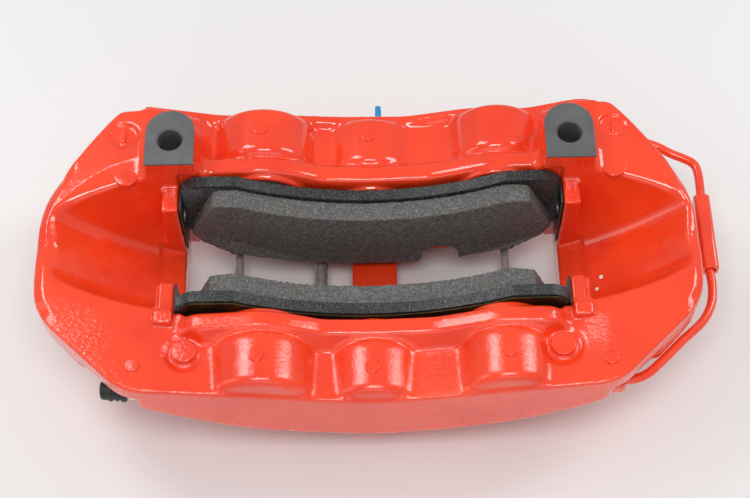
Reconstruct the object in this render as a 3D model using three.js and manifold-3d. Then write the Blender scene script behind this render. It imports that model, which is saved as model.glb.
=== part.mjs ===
// Six-piston radial-mount fixed brake caliper with its pads, for a 405 x 34 mm disc.
//
// Millimetres. In the caliper's own coordinates X runs along the caliper, Y is the disc axis
// (+Y is the inboard, upright side) and +Z points to the disc centre. Y = 0 is the disc's
// mid-plane. The exported group stands the caliper on the flat under its bridge.

import * as THREE from 'three';
import { mergeVertices } from 'three/addons/utils/BufferGeometryUtils.js';
import Module from 'manifold-3d';

const wasm = await Module();
wasm.setup();

// ---------------------------------------------------------------- driving dimensions

const GAP = 0.3; // clearance between pieces that touch

const DISC = { axisZ: 141.6, slot: 20.3, clearance: 213 }; // disc axis height, slot, scoop radius
const CENTRE_RADIUS = 176.5; // disc axis to each piston axis
const WINDOW = { x: 98.6, y: 37.3, top: 5.5 };
const FLOOR_Z = -84; // flat that the caliper rests on
const OUTER_RADIUS = 229; // cast back of the two halves
const CYLINDERS = [
  { name: 'large', x: -56.5, bore: 19, bulge: 28 },
  { name: 'small', x: 0, bore: 15, bulge: 25.5 },
  { name: 'middle', x: 66.5, bore: 17, bulge: 24.2 },
].map((c) => ({ ...c, z: DISC.axisZ - Math.sqrt(CENTRE_RADIUS ** 2 - c.x ** 2) }));
const BORE = { mouth: WINDOW.y, floor: 71.5, cap: 80.3 };
const BOOT = { groove: 2.2, end: 41.5 }; // counterbore round each bore's mouth
const SEAL = { groove: 3, start: 46, end: 50 };
const PISTON = { face: 37.6, length: 25, wall: 4, crown: 7 };
const EAR = { x: 101.8, width: 25, y0: 35.3, y1: 55.5, hole: 6.25, holeY: 50.2, top: 17.5 };
const POST = { x: 107.5, top: -3.3 }; // abutment beside each end of the pads
const BRIDGE = { x0: -11, x1: 13.5, top: -67 };
const PAD = {
  face: 18.85, // lining's friction face to the disc's mid-plane
  plate0: 30.2,
  plate1: 36,
  shim1: 37,
  tip: 97,
  top: 154.3, // radius of the plate's inner edge about the disc axis
  bottom: 204.5, // radius of its outer edge
};
const PIN = { x: 72, z: -62, radius: 2.5, head: 4.5 };
const STAY = { x: -28, z: -68, radius: 3.6 };
const PORT = { z: -24, y: 70, outboardX: 116, inboardX: 126, gallery: 2, thread: 5 };
const SHELF_Z = -12.5; // underside of the corner shelves over the ports
const PIPE_RADIUS = 2.4;
const SCREW = { y: 29, z: -22, radius: 2, depth: 9 }; // wear-plate screws
const INLET = { x: 4.8, z: -34.9, boss: 9.5, face: 88, hole: 5, plugTip: 103 };

// ---------------------------------------------------------------- materials

const finish = (color, roughness, metalness) =>
  new THREE.MeshStandardMaterial({ color, roughness, metalness });
const LOOK = {
  redPaint: finish(0xd8210f, 0.2, 0),
  steel: finish(0xb4b6b8, 0.35, 0.9),
  plated: finish(0x9c9a6a, 0.4, 0.7),
  darkSteel: finish(0x3a3b3e, 0.45, 0.6),
  aluminium: finish(0x9a9b9d, 0.4, 0.8),
  blackPaint: finish(0x16171a, 0.5, 0.1),
  friction: finish(0x3b3a39, 0.95, 0),
  brass: finish(0xb08a4a, 0.4, 0.8),
  rubber: finish(0x141414, 0.7, 0),
  bluePlastic: finish(0x1f8fd0, 0.4, 0),
};

// ---------------------------------------------------------------- solids

function solid(geometry) {
  const bare = geometry.index ? geometry.toNonIndexed() : geometry.clone();
  bare.deleteAttribute('normal');
  bare.deleteAttribute('uv');
  const merged = mergeVertices(bare, 1e-4);
  const vertProperties = new Float32Array(merged.attributes.position.array);
  const triVerts = new Uint32Array(merged.index.array);
  return new wasm.Manifold(new wasm.Mesh({ numProp: 3, vertProperties, triVerts }));
}

function geometryOf(manifold) {
  const mesh = manifold.getMesh();
  const geometry = new THREE.BufferGeometry();
  geometry.setAttribute('position', new THREE.BufferAttribute(mesh.vertProperties, 3));
  geometry.setIndex(new THREE.BufferAttribute(mesh.triVerts, 1));
  geometry.computeVertexNormals();
  return geometry;
}

const join = (solids) => solids.reduce((a, b) => a.add(b));
const cut = (base, cutters) => cutters.reduce((a, b) => a.subtract(b), base);

function box(x0, x1, y0, y1, z0, z1) {
  const geometry = new THREE.BoxGeometry(Math.abs(x1 - x0), Math.abs(y1 - y0), Math.abs(z1 - z0));
  return solid(geometry.translate((x0 + x1) / 2, (y0 + y1) / 2, (z0 + z1) / 2));
}

// A round bar along one axis from a to b; p and q are its centre on the other two axes.
function bar(axis, radius, a, b, p, q, sides = 32, endRadius = radius) {
  const geometry = new THREE.CylinderGeometry(endRadius, radius, b - a, sides);
  geometry.translate(0, (a + b) / 2, 0);
  if (axis === 'x') geometry.rotateZ(-Math.PI / 2).translate(0, p, q);
  if (axis === 'y') geometry.translate(p, 0, q);
  if (axis === 'z') geometry.rotateX(Math.PI / 2).translate(p, q, 0);
  return solid(geometry);
}

const shapeOf = (points) => new THREE.Shape(points.map(([u, v]) => new THREE.Vector2(u, v)));

function extrude(shape, depth, curveSegments = 12) {
  return new THREE.ExtrudeGeometry(shape, { depth, bevelEnabled: false, curveSegments });
}

// An outline in X and Y raised from z0 to z1.
const prismZ = (shape, z0, z1) => solid(extrude(shape, z1 - z0).translate(0, 0, z0));

// An outline in X and Z carried from y0 to y1.
const prismY = (shape, y0, y1) =>
  solid(extrude(shape, y1 - y0).rotateX(Math.PI / 2).translate(0, y1, 0));

// A profile of (radius, y) points turned about the disc axis.
function turned(profile, sides = 64) {
  const points = profile.map(([r, y]) => new THREE.Vector2(r, y));
  return solid(new THREE.LatheGeometry(points, sides).translate(0, 0, DISC.axisZ));
}

// A hexagon nut blank along X.
const hexX = (acrossFlats, a, b, y, z) => bar('x', acrossFlats / Math.sqrt(3), a, b, y, z, 6);

// Points along an arc about the disc axis, at a radius, between two X values.
function discArc(radius, x0, x1, steps) {
  const a0 = Math.asin(x0 / radius);
  const a1 = Math.asin(x1 / radius);
  return Array.from({ length: steps + 1 }, (_, i) => {
    const a = a0 + ((a1 - a0) * i) / steps;
    return [radius * Math.sin(a), DISC.axisZ - radius * Math.cos(a)];
  });
}

// Z on the arc of a radius about the disc axis.
const arcZ = (radius, x) => DISC.axisZ - Math.sqrt(radius ** 2 - x ** 2);

// A mirrored pair of a solid that lies on the +X side.
const both = (s) => s.add(s.scale([-1, 1, 1]));

// ---------------------------------------------------------------- cast body

// Plan of the casting, one side: half of it is mirrored.
const PLAN_RIGHT = [
  [0, 85], [119, 84.5], [129, 76], [136, 68], [160, 33], [164, 24], [166.6, 10],
  [166.6, -26], [165, -34], [159, -45], [124, -78], [114, -82], [0, -82],
];

// Height of the casting's top face along X, without the cylinder bulges.
const TOP_OUTBOARD = [[0, -19.5], [35, -15], [57, -11], [81, -6], [108, -1.5], [130, 1], [167, 3]];
const TOP_INBOARD = [[0, -20], [40, -16], [80, -13], [88, -8], [98, 3], [112, 7], [140, 5], [167, 3]];

// Raised rails along the window, and the thin rim along the inboard half's back.
const RAIL = {
  outer: 49.7,
  top: [
    [-98, -3], [-88, 0], [-70, 1], [-56, 2], [-47, 0], [-36, -4.5], [-25, -8.6], [0, -9.9],
    [30, -8.5], [44, -4.5], [60, 1], [85, 1.5], [98, -3],
  ],
};
const RIM = {
  y0: 80.5,
  y1: 84.8,
  top: [[-119, -1], [-79, -11], [-41, -12], [3, -16.4], [32, -13], [53, -8.6], [83, -10], [119, -1]],
};

const mirrored = (half) => [...half, ...half.slice().reverse().map(([u, v]) => [-u, v])];

function castBlock() {
  const plan = shapeOf([...PLAN_RIGHT, ...PLAN_RIGHT.slice(1, -1).reverse().map(([x, y]) => [-x, y])]);
  const under = [[170, FLOOR_Z], [-170, FLOOR_Z]];
  const topOf = (half) => shapeOf([
    ...half.slice(1).reverse().map(([x, z]) => [-x, z]), ...half, ...under,
  ]);
  const halves = join([
    prismY(topOf(TOP_OUTBOARD), -90, 0.5),
    prismY(topOf(TOP_INBOARD), 0.5, 95),
  ]);
  const back = turned([
    [0, -82], [198, -82], [207, -72], [216, -60], [222, -46], [OUTER_RADIUS, -40],
    [OUTER_RADIUS, 41], [223, 48], [217, 62], [209, 76], [200, 85], [0, 85],
  ]);
  return prismZ(plan, FLOOR_Z, 30).intersect(halves).intersect(back);
}

// A wall from y0 to y1 whose top edge is a list of (x, z) points.
function wall(top, y0, y1, foot) {
  const ends = [[top[top.length - 1][0], foot], [top[0][0], foot]];
  return prismY(shapeOf([...top, ...ends]), y0, y1);
}

function rails() {
  return join([
    wall(RAIL.top, -RAIL.outer, -WINDOW.y + 1, -30),
    wall(RAIL.top, WINDOW.y - 1, RAIL.outer, -30),
    wall(RIM.top, RIM.y0, RIM.y1, -30),
  ]);
}

function bulges(side) {
  const ends = side < 0 ? [-BORE.cap, -BORE.mouth] : [BORE.mouth, BORE.cap];
  return join(CYLINDERS.map((c) => bar('y', c.bulge, ends[0], ends[1], c.x, c.z, 32)));
}

function ears() {
  const half = EAR.width / 2;
  const tongue = box(EAR.x - half, EAR.x + half, EAR.y0, EAR.y1, -10, EAR.top);
  const nose = bar('z', half, -10, EAR.top, EAR.x, EAR.y1, 32);
  return both(tongue.add(nose));
}

function scoops() {
  const tub = turned([
    [0, -38], [182, -34.8], [194, -31], [204, -25.5], [DISC.clearance, -17.5],
    [DISC.clearance, 17.5], [204, 25.5], [194, 31], [182, 34.8], [0, 38],
  ]);
  const ends = both(box(POST.x, 180, -50, 50, -90, 60));
  const disc = bar('y', DISC.clearance, -DISC.slot, DISC.slot, 0, DISC.axisZ, 64);
  const throat = both(box(90, POST.x + 1, -50, 50, -90, 60));
  return [tub.intersect(ends), disc.intersect(throat)];
}

function boreCuts(side) {
  const along = (radius, a, b, c, sides) => {
    const [lo, hi] = side < 0 ? [-b, -a] : [a, b];
    return bar('y', radius, lo, hi, c.x, c.z, sides);
  };
  const gallery = bar('x', PORT.gallery, -PORT.inboardX - 5, PORT.inboardX + 5, side * PORT.y, PORT.z, 8);
  return [
    ...CYLINDERS.map((c) => along(c.bore, 30, BORE.floor, c, 28)),
    ...CYLINDERS.map((c) => along(c.bore + BOOT.groove, 30, BOOT.end, c, 28)),
    ...CYLINDERS.map((c) => along(c.bore + SEAL.groove, SEAL.start, SEAL.end, c, 28)),
    gallery,
  ];
}

// Threaded mouths of the ports at both ends of a half, and the space around them.
function portCuts(side) {
  const face = side < 0 ? PORT.outboardX : PORT.inboardX;
  const [y0, y1] = side < 0 ? [-95, -60] : [58, 95];
  const relief = both(box(face, 180, y0, y1, -90, SHELF_Z));
  const mouth = both(bar('x', PORT.thread, face - 12, face + 1, side * PORT.y, PORT.z, 20));
  return [relief, mouth];
}

function pinCuts() {
  const hole = both(bar('y', PIN.radius + 0.4, -50, 56, PIN.x, PIN.z, 16));
  const clipPocket = both(box(PIN.x - 8, PIN.x + 8, 50, 70, -95, PIN.z + 9));
  const headPocket = both(box(PIN.x - 7, PIN.x + 7, -68, -50, -95, PIN.z + 7));
  return [hole, clipPocket, headPocket];
}

function stayCuts() {
  return [
    bar('y', STAY.radius + 0.4, -52, 52, STAY.x, STAY.z, 20),
    box(STAY.x - 8, STAY.x + 8, -70, -48, -95, STAY.z + 8),
    box(STAY.x - 8, STAY.x + 8, 48, 70, -95, STAY.z + 8),
  ];
}

function caliperBody() {
  const window = box(-WINDOW.x, WINDOW.x, -WINDOW.y, WINDOW.y, -95, WINDOW.top);
  const block = join([castBlock(), bulges(-1), bulges(1), rails(), ears()]);
  const inletBoss = bar('y', INLET.boss, 78, INLET.face, INLET.x, INLET.z, 24);
  const clearTop = both(box(WINDOW.x, POST.x, -WINDOW.y, WINDOW.y - 2, POST.top, 30));
  const screwHoles = [-1, 1].map((side) =>
    both(bar('x', SCREW.radius + 0.3, WINDOW.x - 1, WINDOW.x + SCREW.depth, side * SCREW.y, SCREW.z, 12)));
  const body = cut(block.add(inletBoss), [
    ...scoops(),
    window,
    clearTop,
    ...boreCuts(-1),
    ...boreCuts(1),
    ...portCuts(-1),
    ...portCuts(1),
    ...pinCuts(),
    ...stayCuts(),
    ...screwHoles,
    both(bar('z', EAR.hole, -90, 40, EAR.x, EAR.holeY, 24)),
    bar('y', INLET.hole, BORE.floor - 2, INLET.face + 1, INLET.x, INLET.z, 20),
  ]);
  const bridge = box(BRIDGE.x0, BRIDGE.x1, -WINDOW.y - 0.5, WINDOW.y + 0.5, FLOOR_Z, BRIDGE.top);
  return body.add(bridge);
}

// ---------------------------------------------------------------- pistons and seals

function ringY(outer, inner, a, b, c, sides = 28) {
  return bar('y', outer, a, b, c.x, c.z, sides).subtract(bar('y', inner, a - 1, b + 1, c.x, c.z, sides));
}

const span = (side, a, b) => (side < 0 ? [-b, -a] : [a, b]);

function piston(side, c) {
  const r = c.bore - 2 * GAP;
  const [a, b] = span(side, PISTON.face, PISTON.face + PISTON.length);
  const [h0, h1] = span(side, PISTON.face - 1, PISTON.face + PISTON.length - PISTON.crown);
  return bar('y', r, a, b, c.x, c.z, 28).subtract(bar('y', r - PISTON.wall, h0, h1, c.x, c.z, 20));
}

function seal(side, c) {
  const [a, b] = span(side, SEAL.start + GAP, SEAL.end - GAP);
  return ringY(c.bore + SEAL.groove - GAP, c.bore, a, b, c);
}

function boot(side, c) {
  const [a, b] = span(side, WINDOW.y + GAP, BOOT.end - GAP);
  return ringY(c.bore + BOOT.groove - GAP, c.bore, a, b, c);
}

// ---------------------------------------------------------------- pads

function plateOutline(inset) {
  const tip = PAD.tip - inset;
  return shapeOf([
    [-tip, 0 - inset], [-tip, arcZ(PAD.bottom - inset, tip)],
    ...discArc(PAD.bottom - inset, -tip + 3, tip - 3, 20),
    [tip, arcZ(PAD.bottom - inset, tip)], [tip, 0 - inset],
    [90, 3.8 - inset],
    ...discArc(PAD.top + inset, 69, -69, 14),
    [-90, 3.8 - inset],
  ]);
}

function lug() {
  return both(join([
    box(PIN.x - 8, PIN.x + 8, 0, 1, PIN.z, -44),
    bar('y', 8, 0, 1, PIN.x, PIN.z, 24),
  ])).subtract(both(bar('y', PIN.radius + 0.6, -1, 2, PIN.x, PIN.z, 16)));
}

function backingPlate(side) {
  const [a, b] = span(side, PAD.plate0, PAD.plate1);
  const lugs = lug().scale([1, b - a, 1]).translate([0, a, 0]);
  return prismY(plateOutline(0), a, b).add(lugs)
    .subtract(both(bar('y', PIN.radius + 0.6, a - 1, b + 1, PIN.x, PIN.z, 16)));
}

function lining(side) {
  const [a, b] = span(side, PAD.face, PAD.plate0 - GAP);
  const outline = shapeOf([
    [-80.4, 2], [-95, -30], ...discArc(202.1, -91, 91, 20), [95, -30], [80.4, 2],
    ...discArc(156.2, 68.7, -68.7, 14),
  ]);
  const block = prismY(outline, a, b);
  if (side < 0) return block;
  const notch = box(26.2, 46, 0, 40, -70, -50).add(bar('y', 8, 0, 40, 36.4, -51, 24));
  return block.subtract(notch);
}

function shim(side) {
  const [a, b] = span(side, PAD.plate1 + GAP, PAD.shim1);
  return prismY(plateOutline(1.2), a, b);
}

// ---------------------------------------------------------------- pins, springs, wear plates

function padPin(side) {
  const x = side * PIN.x;
  const shank = bar('y', PIN.radius, -50.5, 59, x, PIN.z, 20);
  const head = bar('y', PIN.head, -54, -50.3, x, PIN.z, 20);
  const clipHole = bar('z', 1, -70, -50, x, 56.5, 12);
  return shank.add(head).subtract(clipHole);
}

// A wire R-clip: one straight leg through the pin and one bowed leg over it.
function pinClip(side) {
  const x = side * PIN.x;
  const route = new THREE.CatmullRomCurve3([
    [0, -7.5], [0, 2], [0.6, 4.5], [2.4, 6], [4, 4.4], [4.2, 1.5], [3.7, -2], [4.6, -6],
  ].map(([dy, dz]) => new THREE.Vector3(x, 56.5 + dy, PIN.z + dz)));
  return wire(route, 0.65, 20, 6);
}

function circle(radius, sides) {
  return shapeOf(Array.from({ length: sides }, (_, i) => {
    const a = (2 * Math.PI * i) / sides;
    return [radius * Math.cos(a), radius * Math.sin(a)];
  }));
}

function wire(route, radius, steps, sides) {
  const settings = { steps, bevelEnabled: false, extrudePath: route };
  return solid(new THREE.ExtrudeGeometry(circle(radius, sides), settings));
}

function stayBolt() {
  const head = bar('y', 6.5, -53, -48.3, STAY.x, STAY.z, 6);
  return bar('y', STAY.radius, -49, 56, STAY.x, STAY.z, 24).add(head);
}

function stayNut() {
  const nut = bar('y', 6.5, 48.3, 54, STAY.x, STAY.z, 6);
  return nut.subtract(bar('y', STAY.radius + GAP, 40, 60, STAY.x, STAY.z, 24));
}

// A leaf under each pad, bowed up from the bridge to the pad's edge.
function padSpring(side) {
  const t = 0.8;
  const top = [[-17, -65.8], [-9, -64.4], [1.2, -63.7], [11, -64.4], [16, -65.8]];
  const outline = shapeOf([...top, ...top.slice().reverse().map(([x, z]) => [x, z - t])]);
  const [a, b] = span(side, 29, 36.6);
  return prismY(outline, a, b);
}

function wearPlate(sideX, sideY) {
  const [y0, y1] = span(sideY, DISC.slot + 0.5, WINDOW.y - 0.4);
  const sheet = box(97.4, WINDOW.x - GAP, y0, y1, -45, POST.top - 0.5);
  const plate = sheet.subtract(bar('x', SCREW.radius + GAP, 90, 110, sideY * SCREW.y, SCREW.z, 12));
  return sideX < 0 ? plate.scale([-1, 1, 1]) : plate;
}

function wearScrew(sideX, sideY) {
  const shank = bar('x', SCREW.radius, 97.2, WINDOW.x + SCREW.depth - 1, sideY * SCREW.y, SCREW.z, 12);
  return sideX < 0 ? shank.scale([-1, 1, 1]) : shank;
}

// ---------------------------------------------------------------- hydraulics

// Bleed screw at the -X end of a half: threaded shank, hexagon and nipple.
function bleedScrew(side) {
  const face = side < 0 ? -PORT.outboardX : -PORT.inboardX;
  const y = side * PORT.y;
  const shank = bar('x', PORT.thread - GAP, face - 0.5, face + 10, y, PORT.z, 20);
  const hex = hexX(9, face - 5.5, face - 0.5, y, PORT.z);
  const nipple = bar('x', 3, face - 16, face - 5, y, PORT.z, 20);
  const bore = bar('x', 1.2, face - 17, face + 6, y, PORT.z, 12);
  return join([shank, hex, nipple]).subtract(bore);
}

function bleedCap(side) {
  const face = side < 0 ? -PORT.outboardX : -PORT.inboardX;
  const y = side * PORT.y;
  const end = face - 19.5;
  const profile = [
    [0, 0], [4.2, 0], [5, 1.2], [5.5, 5], [5.1, 6.2], [5.6, 8], [5.1, 9.4],
    [6, 10.4], [6.1, 13], [3.3, 13], [3.3, 3.2], [0, 3.2],
  ].map(([r, x]) => new THREE.Vector2(r, x));
  const shell = new THREE.LatheGeometry(profile, 18);
  return solid(shell.rotateZ(-Math.PI / 2).translate(end, y, PORT.z));
}

const PIPE_ROUTE = [
  [131, 70, -24], [138, 70, -24], [147, 69.5, -24], [154, 66.5, -24], [160.5, 62.2, -24],
  [168, 58.3, -24], [172.3, 54.6, -24], [173.6, 48, -24], [173.5, 36.6, -24], [173.1, 12, -24],
  [172.9, -8.5, -24], [173.1, -18.5, -24], [171.9, -27, -24], [169, -34, -24],
  [164.2, -40.4, -24], [154, -49.6, -24], [143, -60.4, -24], [136, -66.5, -24],
  [130, -69.3, -24], [125, -70, -24], [119, -70, -24],
];

function pipeCurve() {
  return new THREE.CatmullRomCurve3(PIPE_ROUTE.map((p) => new THREE.Vector3(...p)), false, 'centripetal');
}

const crossoverPipe = () => wire(pipeCurve(), PIPE_RADIUS, 56, 8);

function pipeSleeve() {
  const line = new THREE.LineCurve3(new THREE.Vector3(173.5, 34, -24), new THREE.Vector3(172.9, -9.6, -24));
  return wire(line, 4.7, 1, 16).subtract(wire(line, PIPE_RADIUS + 0.45, 1, 12));
}

function flareNut(side) {
  const face = side < 0 ? PORT.outboardX : PORT.inboardX;
  const y = side * PORT.y;
  const blank = join([
    hexX(11, face + GAP, face + 7.5, y, PORT.z),
    bar('x', PORT.thread - GAP, face - 9, face + 1, y, PORT.z, 20),
  ]);
  return blank.subtract(bar('x', PIPE_RADIUS + GAP, face - 12, face + 12, y, PORT.z, 20));
}

function inletPlug() {
  return join([
    bar('y', INLET.hole - GAP, 79, INLET.face + 2, INLET.x, INLET.z, 24),
    box(INLET.x - 1.8, INLET.x + 1.8, INLET.face + 1, INLET.plugTip, INLET.z - 4, INLET.z + 4),
  ]);
}

// ---------------------------------------------------------------- assembly

const caliper = new THREE.Group();

function place(name, manifold, look) {
  const mesh = new THREE.Mesh(geometryOf(manifold), look);
  mesh.name = name;
  caliper.add(mesh);
}

place('caliper_body', caliperBody(), LOOK.redPaint);

for (const [sideName, side] of [['outboard', -1], ['inboard', 1]]) {
  for (const c of CYLINDERS) {
    place(`piston_${sideName}_${c.name}`, piston(side, c), LOOK.aluminium);
    place(`piston_seal_${sideName}_${c.name}`, seal(side, c), LOOK.rubber);
    place(`dust_boot_${sideName}_${c.name}`, boot(side, c), LOOK.rubber);
  }
  place(`backing_plate_${sideName}`, backingPlate(side), LOOK.blackPaint);
  place(`lining_${sideName}`, lining(side), LOOK.friction);
  place(`shim_${sideName}`, shim(side), LOOK.brass);
  place(`pad_spring_${sideName}`, padSpring(side), LOOK.plated);
  place(`bleed_screw_${sideName}`, bleedScrew(side), LOOK.steel);
  place(`bleed_cap_${sideName}`, bleedCap(side), LOOK.rubber);
  place(`flare_nut_${sideName}`, flareNut(side), LOOK.redPaint);
  for (const [endName, end] of [['left', -1], ['right', 1]]) {
    place(`wear_plate_${sideName}_${endName}`, wearPlate(end, side), LOOK.darkSteel);
    place(`wear_plate_screw_${sideName}_${endName}`, wearScrew(end, side), LOOK.steel);
  }
}

for (const [endName, end] of [['left', -1], ['right', 1]]) {
  place(`pad_pin_${endName}`, padPin(end), LOOK.steel);
  place(`pin_clip_${endName}`, pinClip(end), LOOK.steel);
}

place('stay_bolt', stayBolt(), LOOK.steel);
place('stay_nut', stayNut(), LOOK.steel);
place('crossover_pipe', crossoverPipe(), LOOK.redPaint);
place('pipe_sleeve', pipeSleeve(), LOOK.redPaint);
place('inlet_plug', inletPlug(), LOOK.bluePlastic);

// The part's origin is under the middle of its box, on the surface that it rests on.
const bounds = new THREE.Box3().setFromObject(caliper);
const middle = bounds.getCenter(new THREE.Vector3());
caliper.position.set(-middle.x, -middle.y, -bounds.min.z);

const part = new THREE.Group();
part.add(caliper);

export default part;
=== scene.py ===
"""Six-piston fixed brake caliper with its pads: surfaces, materials, light and camera."""

import math

import bmesh
import bpy
import numpy as np
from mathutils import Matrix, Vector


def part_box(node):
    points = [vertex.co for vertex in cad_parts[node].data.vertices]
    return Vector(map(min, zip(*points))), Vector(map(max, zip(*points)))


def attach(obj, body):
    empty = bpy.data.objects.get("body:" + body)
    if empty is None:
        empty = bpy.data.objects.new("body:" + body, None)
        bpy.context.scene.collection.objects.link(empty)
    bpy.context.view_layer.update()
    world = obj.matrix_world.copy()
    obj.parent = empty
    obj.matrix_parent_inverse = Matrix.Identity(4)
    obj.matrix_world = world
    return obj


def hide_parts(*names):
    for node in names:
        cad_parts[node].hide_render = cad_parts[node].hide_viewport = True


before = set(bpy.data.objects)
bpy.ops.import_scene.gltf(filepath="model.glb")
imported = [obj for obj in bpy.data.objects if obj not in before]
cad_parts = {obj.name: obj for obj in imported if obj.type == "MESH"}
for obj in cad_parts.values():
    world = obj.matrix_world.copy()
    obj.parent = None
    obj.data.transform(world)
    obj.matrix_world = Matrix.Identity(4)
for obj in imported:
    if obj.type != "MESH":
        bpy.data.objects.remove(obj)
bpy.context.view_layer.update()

import openvdb
from mathutils import Matrix, Vector, noise
from mathutils.geometry import tessellate_polygon

# ---------------------------------------------------------------- frame and dimensions
# Lengths are millimetres in the caliper's own coordinates: X along the caliper, Y the disc
# axis (+Y inboard), Z towards the disc centre, Y = 0 the disc's mid-plane.

MM = 0.001
BODY_LO, BODY_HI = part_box("caliper_body")
OUTER_FACE_Y = -82.0
FLOOR_Z = -84.0
ORIGIN = Vector((
    (BODY_LO.x + BODY_HI.x) / 2,
    BODY_LO.y - OUTER_FACE_Y * MM,
    BODY_LO.z - FLOOR_Z * MM,
))

DISC_Z = 141.6
SLOT = 20.3
CENTRE_RADIUS = 176.5
WINDOW_X = 98.6
WINDOW_Y = 37.3
WINDOW_TOP = 5.5
WALL_Y = 39.7
BORES = {"large": (-56.5, 19.0, 28.0), "small": (0.0, 15.0, 25.5), "middle": (66.5, 17.0, 24.2)}
BORE_FLOOR = 71.5
BORE_CAP = 80.3
BULGE_START = 51.0
BOOT_GROOVE = 2.2
BOOT_END = 41.5
SEAL_GROOVE = 3.0
SEAL_START = 46.0
PISTON_PLAY, PISTON_WALL, PISTON_END = 0.6, 4.0, 62.6
SEAL_END = 50.0
EAR_X = 101.8
EAR_HALF = 12.5
EAR_FRONT = 35.3
EAR_ARC_Y = 55.5
EAR_HOLE = 6.25
EAR_HOLE_Y = 50.2
EAR_TOP = 17.5
EAR_FACE = 1.2
POST_X = 107.5
POST_TOP = -3.3
BRIDGE = (-11.0, 13.5, -67.0)
PIN_X, PIN_Z, PIN_R = 72.0, -62.0, 2.5
STAY_X, STAY_Z, STAY_R = -28.0, -68.0, 3.6
PORT_Z, PORT_Y = -24.0, 70.0
PORT_FACE = {-1: 116.0, 1: 126.0}
SHELF_Z = -12.5
PIPE_R = 2.4
INLET_X, INLET_Z, INLET_FACE = 4.8, -34.9, 88.0
SCREW_Y, SCREW_Z = 29.0, -22.0
RINGS = [(-127, 61), (126, 61)]
CAST_DISCS = [  # x, y, z of the top, radius
    (-57, -65, 3.4, 3.7), (-1, -67, -8.4, 3.7), (66, -65, 3.4, 3.7), (-57, 66, 3.1, 3.7),
    (-1, 68, -8.6, 3.7), (-117, -68, 0.3, 3.4), (115, -69, 0.2, 3.4), (-92.5, -59.4, -3.0, 6.0),
    (92.5, -59.4, -3.0, 6.0), (-124.8, 37.4, 5.1, 6.4), (124.8, 37.4, 5.1, 6.4),
]
SIDES = {"outboard": -1, "inboard": 1}
ENDS = {"left": -1, "right": 1}


def bore_z(x):
    return DISC_Z - math.sqrt(CENTRE_RADIUS ** 2 - x * x)


def arc_z(radius, x):
    """Z on an arc about the disc axis."""
    return DISC_Z - math.sqrt(radius * radius - x * x)


def at(x, y, z):
    """A point of the caliper's coordinates, in the frame's metres."""
    return Vector((x, y, z)) * MM + ORIGIN


# ---------------------------------------------------------------- camera, floor and light

VIEW_POINT = (1.6, -415.7, 717.6)
VIEW_TILT = math.radians(60.3)
VIEW_ROLL = math.radians(1.17)
VIEW_LENS = 79.2


def add_camera():
    camera = bpy.data.objects.new("camera", bpy.data.cameras.new("camera"))
    camera.data.lens = VIEW_LENS
    camera.data.sensor_width = 36
    camera.data.clip_start = 0.01
    forward = Vector((0, math.cos(VIEW_TILT), -math.sin(VIEW_TILT)))
    up0 = Vector((0, math.sin(VIEW_TILT), math.cos(VIEW_TILT)))
    side0 = Vector((1, 0, 0))
    side = side0 * math.cos(VIEW_ROLL) - up0 * math.sin(VIEW_ROLL)
    up = side0 * math.sin(VIEW_ROLL) + up0 * math.cos(VIEW_ROLL)
    turn = Matrix((side, up, -forward)).transposed().to_4x4()
    camera.matrix_world = Matrix.Translation(at(*VIEW_POINT)) @ turn
    bpy.context.scene.collection.objects.link(camera)
    bpy.context.scene.camera = camera


LIGHT_TARGET = (0, 0, -20)
SOFTBOXES = {  # place, size and power
    "softbox_back_left": ((-560, 420, 900), (320, 420), 3.2),
    "softbox_right": ((760, 300, 640), (280, 440), 2.6),
    "softbox_top": ((0, -380, 1000), (460, 280), 4.4),
    "softbox_left": ((-900, -150, 520), (420, 620), 1.0),
    "fill_front": ((0, -1150, 560), (1300, 600), 2.0),
}
WORLD_STRENGTH = 0.46


def add_lights():
    """Softboxes that face the caliper, in an even white world."""
    for name, (place, size, power) in SOFTBOXES.items():
        lamp = bpy.data.lights.new(name, "AREA")
        lamp.shape = "RECTANGLE"
        lamp.size, lamp.size_y = size[0] * MM, size[1] * MM
        lamp.energy = power
        lamp_object = bpy.data.objects.new(name, lamp)
        facing = at(*LIGHT_TARGET) - at(*place)
        lamp_object.rotation_euler = facing.to_track_quat("-Z", "Y").to_euler()
        lamp_object.location = at(*place)
        bpy.context.scene.collection.objects.link(lamp_object)
    world = bpy.data.worlds.new("studio")
    world.use_nodes = True
    back = world.node_tree.nodes["Background"]
    back.inputs["Color"].default_value = (1.0, 1.0, 1.0, 1)
    back.inputs["Strength"].default_value = WORLD_STRENGTH
    bpy.context.scene.world = world
    bpy.context.scene.view_settings.view_transform = "Standard"


# ---------------------------------------------------------------- materials


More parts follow.
